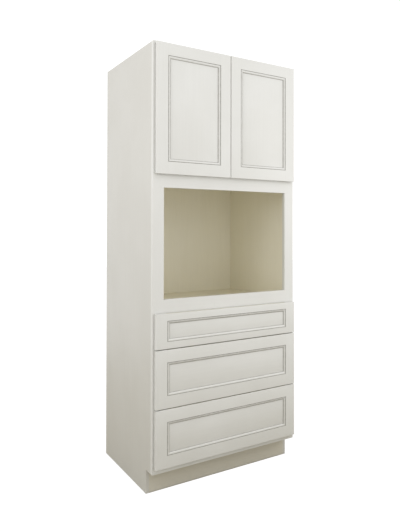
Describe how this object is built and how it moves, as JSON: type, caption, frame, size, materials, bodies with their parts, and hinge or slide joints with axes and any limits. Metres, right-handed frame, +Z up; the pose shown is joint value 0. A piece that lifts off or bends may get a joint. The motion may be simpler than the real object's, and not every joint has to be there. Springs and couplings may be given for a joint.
{
  "type": "tall oven housing unit",
  "caption": "Tall framed kitchen unit that houses a built-in oven, with recessed-panel doors above the oven opening and drawers below, painted off-white with grey glaze.",
  "frame": {"origin": "on the floor, at the middle of the unit's bounding box", "axes": "+X to the right seen from the front, +Y from the doors to the back, +Z up"},
  "size_m": [0.8382, 0.6316, 2.1336],
  "materials": {
    "painted_front": "satin off-white paint over solid wood, with grey glaze lying in the profile",
    "painted_frame": "satin off-white paint over solid wood",
    "painted_side": "satin off-white laminate on plywood",
    "interior_plywood": "clear-coated tan plywood",
    "toe_kick_board": "matt painted plywood",
    "drawer_wood": "clear-lacquered birch, dovetailed",
    "slide_steel": "zinc-plated rolled steel",
    "hinge_metal": "nickel-plated steel"
  },
  "bodies": {
    "cabinet": {"left_side_panel": "painted_side", "right_side_panel": "painted_side", "top_panel": "interior_plywood", "upper_floor_panel": "interior_plywood", "oven_deck_panel": "interior_plywood", "bottom_panel": "interior_plywood", "back_panel": "interior_plywood", "toe_kick_board": "toe_kick_board", "adjustable_shelf": "interior_plywood", "left_stile": "painted_frame", "right_stile": "painted_frame", "top_rail": "painted_frame", "rail_above_oven": "painted_frame", "rail_below_oven": "painted_frame", "upper_drawer_rail": "painted_frame", "lower_drawer_rail": "painted_frame", "bottom_rail": "painted_frame", "left_lower_hinge_plate": "hinge_metal", "left_upper_hinge_plate": "hinge_metal", "right_lower_hinge_plate": "hinge_metal", "right_upper_hinge_plate": "hinge_metal", "drawer_1_left_slide_cabinet_member": "slide_steel", "drawer_1_right_slide_cabinet_member": "slide_steel", "drawer_2_left_slide_cabinet_member": "slide_steel", "drawer_2_right_slide_cabinet_member": "slide_steel", "drawer_3_left_slide_cabinet_member": "slide_steel", "drawer_3_right_slide_cabinet_member": "slide_steel"},
    "left_door": {"left_door_frame": "painted_front", "left_door_panel": "painted_front", "left_lower_hinge_cup": "hinge_metal", "left_upper_hinge_cup": "hinge_metal"},
    "left_hinge_arms": {"left_lower_hinge_arm": "hinge_metal", "left_upper_hinge_arm": "hinge_metal"},
    "right_door": {"right_door_frame": "painted_front", "right_door_panel": "painted_front", "right_lower_hinge_cup": "hinge_metal", "right_upper_hinge_cup": "hinge_metal"},
    "right_hinge_arms": {"right_lower_hinge_arm": "hinge_metal", "right_upper_hinge_arm": "hinge_metal"},
    "drawer_1": {"drawer_1_front_frame": "painted_front", "drawer_1_front_panel": "painted_front", "drawer_1_box": "drawer_wood", "drawer_1_left_slide_drawer_member": "slide_steel", "drawer_1_right_slide_drawer_member": "slide_steel"},
    "drawer_1_slide_middles": {"drawer_1_left_slide_middle_member": "slide_steel", "drawer_1_right_slide_middle_member": "slide_steel"},
    "drawer_2": {"drawer_2_front_frame": "painted_front", "drawer_2_front_panel": "painted_front", "drawer_2_box": "drawer_wood", "drawer_2_left_slide_drawer_member": "slide_steel", "drawer_2_right_slide_drawer_member": "slide_steel"},
    "drawer_2_slide_middles": {"drawer_2_left_slide_middle_member": "slide_steel", "drawer_2_right_slide_middle_member": "slide_steel"},
    "drawer_3": {"drawer_3_front_frame": "painted_front", "drawer_3_front_panel": "painted_front", "drawer_3_box": "drawer_wood", "drawer_3_left_slide_drawer_member": "slide_steel", "drawer_3_right_slide_drawer_member": "slide_steel"},
    "drawer_3_slide_middles": {"drawer_3_left_slide_middle_member": "slide_steel", "drawer_3_right_slide_middle_member": "slide_steel"}
  },
  "joints": [
    {"name": "left_door_hinge", "type": "hinge", "parent": "cabinet", "child": "left_door", "pos_m": [-0.4017, -0.3093, 1.8187], "axis": [0, 0, -1], "range_deg": [0, 105]},
    {"name": "right_door_hinge", "type": "hinge", "parent": "cabinet", "child": "right_door", "pos_m": [0.4017, -0.3093, 1.8187], "axis": [0, 0, 1], "range_deg": [0, 105]},
    {"name": "left_hinge_arm_swing", "type": "hinge", "parent": "cabinet", "child": "left_hinge_arms", "pos_m": [-0.3757, -0.2923, 1.8187], "axis": [0, 0, 1], "range_deg": [0, 27.5]},
    {"name": "right_hinge_arm_swing", "type": "hinge", "parent": "cabinet", "child": "right_hinge_arms", "pos_m": [0.3757, -0.2923, 1.8187], "axis": [0, 0, -1], "range_deg": [0, 27.5]},
    {"name": "drawer_1_slide", "type": "slide", "parent": "cabinet", "child": "drawer_1", "axis": [0, -1, 0], "range_m": [0, 0.508]},
    {"name": "drawer_2_slide", "type": "slide", "parent": "cabinet", "child": "drawer_2", "axis": [0, -1, 0], "range_m": [0, 0.508]},
    {"name": "drawer_3_slide", "type": "slide", "parent": "cabinet", "child": "drawer_3", "axis": [0, -1, 0], "range_m": [0, 0.508]},
    {"name": "drawer_1_slide_middle", "type": "slide", "parent": "cabinet", "child": "drawer_1_slide_middles", "axis": [0, -1, 0], "range_m": [0, 0.254]},
    {"name": "drawer_2_slide_middle", "type": "slide", "parent": "cabinet", "child": "drawer_2_slide_middles", "axis": [0, -1, 0], "range_m": [0, 0.254]},
    {"name": "drawer_3_slide_middle", "type": "slide", "parent": "cabinet", "child": "drawer_3_slide_middles", "axis": [0, -1, 0], "range_m": [0, 0.254]}
  ],
  "couplings": [
    {"joint": "left_hinge_arm_swing", "follows": "left_door_hinge", "ratio": 0.261},
    {"joint": "right_hinge_arm_swing", "follows": "right_door_hinge", "ratio": 0.261},
    {"joint": "drawer_1_slide_middle", "follows": "drawer_1_slide", "ratio": 0.5},
    {"joint": "drawer_2_slide_middle", "follows": "drawer_2_slide", "ratio": 0.5},
    {"joint": "drawer_3_slide_middle", "follows": "drawer_3_slide", "ratio": 0.5}
  ]
}
